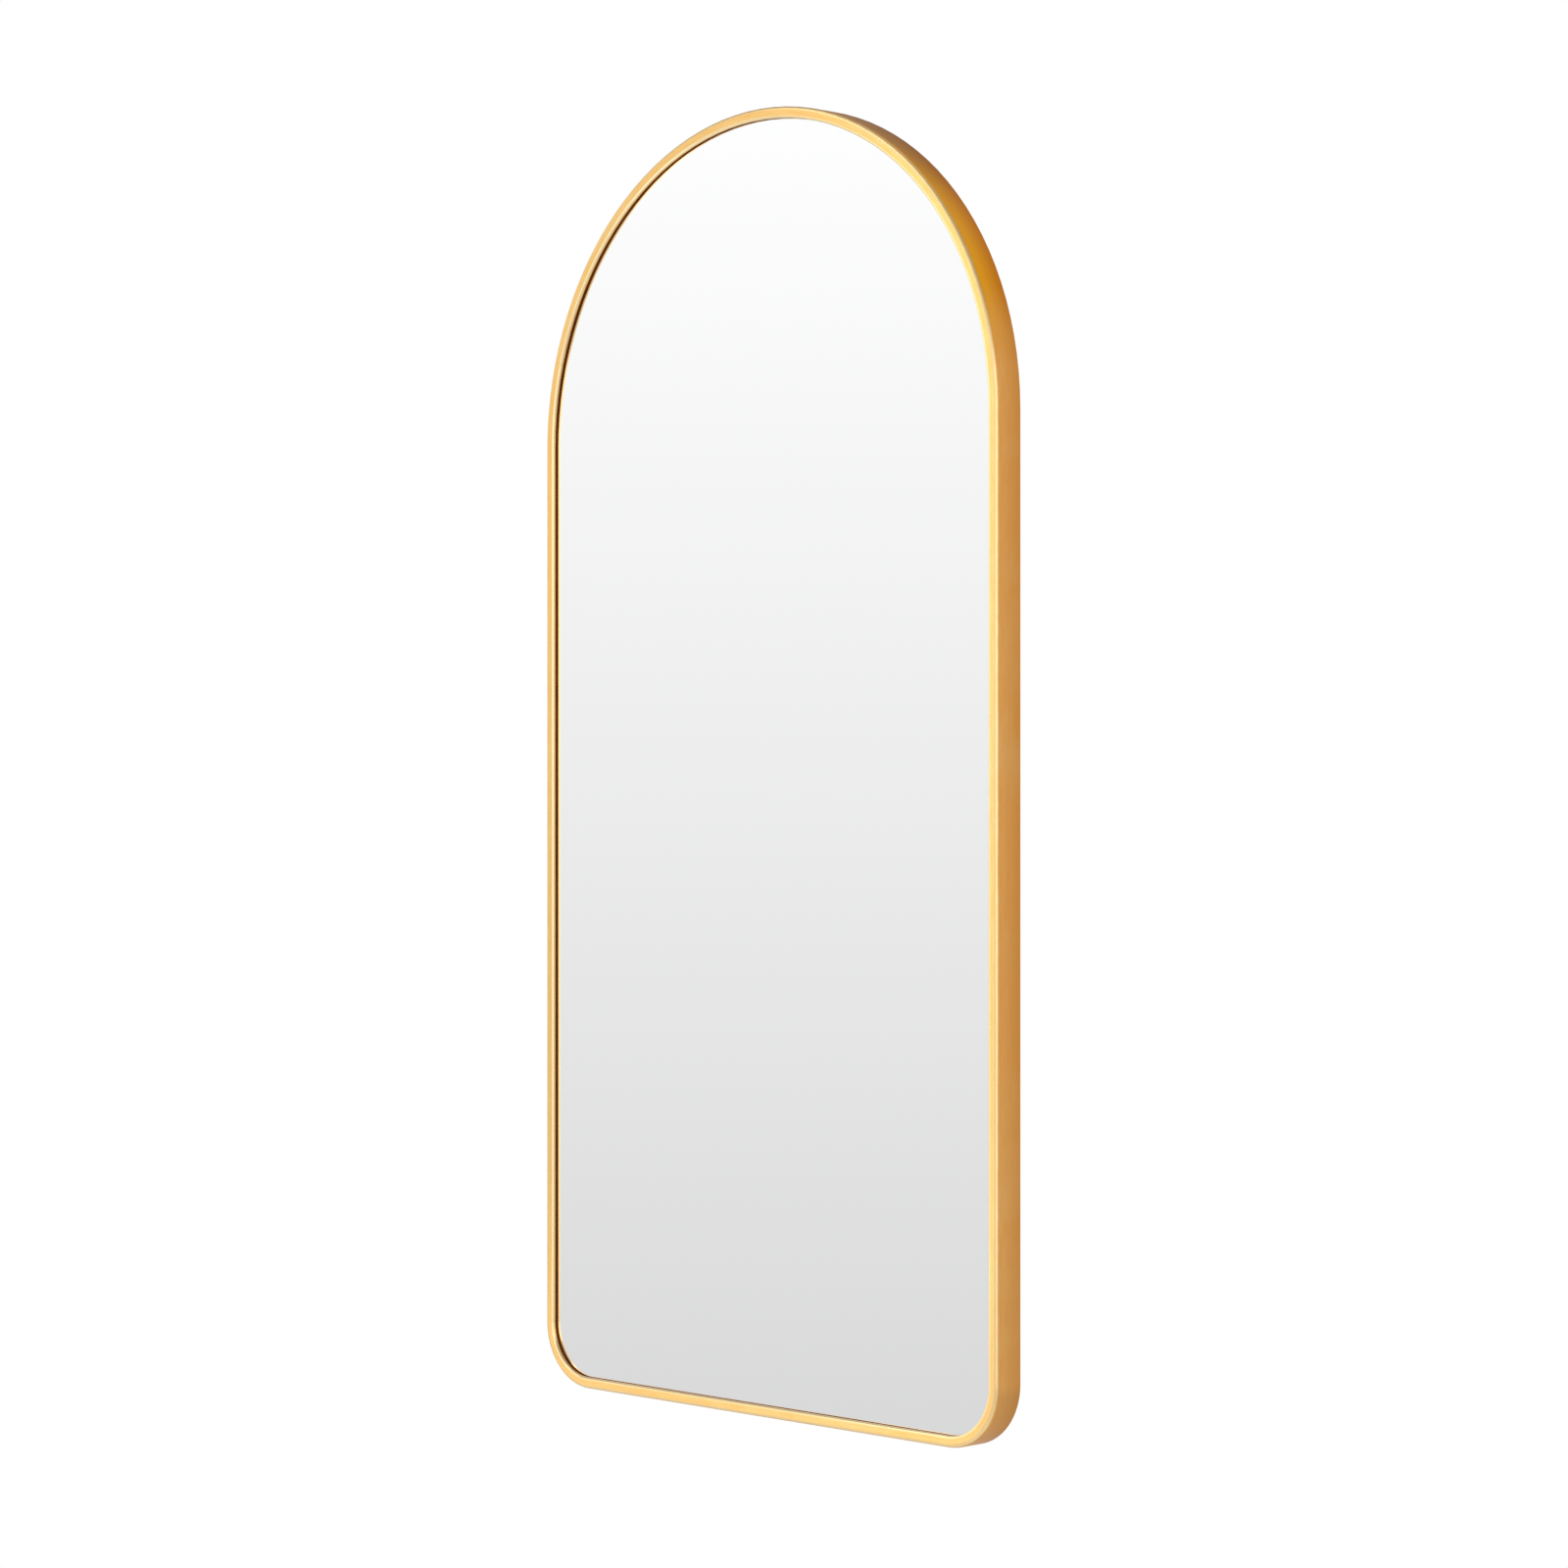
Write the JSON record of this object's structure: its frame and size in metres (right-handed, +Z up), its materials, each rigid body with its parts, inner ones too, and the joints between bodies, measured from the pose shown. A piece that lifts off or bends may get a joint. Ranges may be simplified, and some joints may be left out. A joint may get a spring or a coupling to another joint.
{
  "type": "arched wall mirror",
  "caption": "Tall wall mirror with a round head and rounded lower corners, in a slim deep brushed metal frame, with swinging D-ring hangers behind.",
  "frame": {"origin": "under the middle of the bottom rail, at the height of its lowest edge and at half the frame's depth", "axes": "+Z up along the mirror's height, -Y out of the mirrored front, +Y towards the wall, +X to the right of a viewer in front"},
  "size_m": [0.5, 0.026, 1.02],
  "materials": {
    "frame_metal": "brushed lengthwise, gold anodised",
    "tape": "dark matte foam tape",
    "mirror": "polished silvered glass",
    "foam": "soft white foam sheet",
    "board": "fibreboard with a matte black facing",
    "block_rubber": "matte",
    "plated_steel": "bright zinc plate",
    "ring_steel": "nickel plate",
    "screw_steel": "zinc plate"
  },
  "bodies": {
    "mirror_body": {"frame_arch": "frame_metal", "frame_base": "frame_metal", "glazing_tape": "tape", "mirror_glass": "mirror", "cushion_sheet": "foam", "backboard": "board", "setting_blocks": "block_rubber", "edge_blocks": "block_rubber", "splice_key_left": "plated_steel", "splice_key_right": "plated_steel", "splice_screws": "screw_steel", "retaining_plates": "plated_steel", "plate_screws": "screw_steel", "hanger_strap_left": "plated_steel", "hanger_strap_right": "plated_steel", "hanger_screws": "screw_steel"},
    "left_ring": {"d_ring_left": "ring_steel"},
    "right_ring": {"d_ring_right": "ring_steel"}
  },
  "joints": [
    {"name": "left_ring_swing", "type": "hinge", "parent": "mirror_body", "child": "left_ring", "pos_m": [-0.185, 0.0081, 0.745], "axis": [1, 0, 0], "range_deg": [0, 180]},
    {"name": "right_ring_swing", "type": "hinge", "parent": "mirror_body", "child": "right_ring", "pos_m": [0.185, 0.0081, 0.745], "axis": [1, 0, 0], "range_deg": [0, 180]}
  ]
}
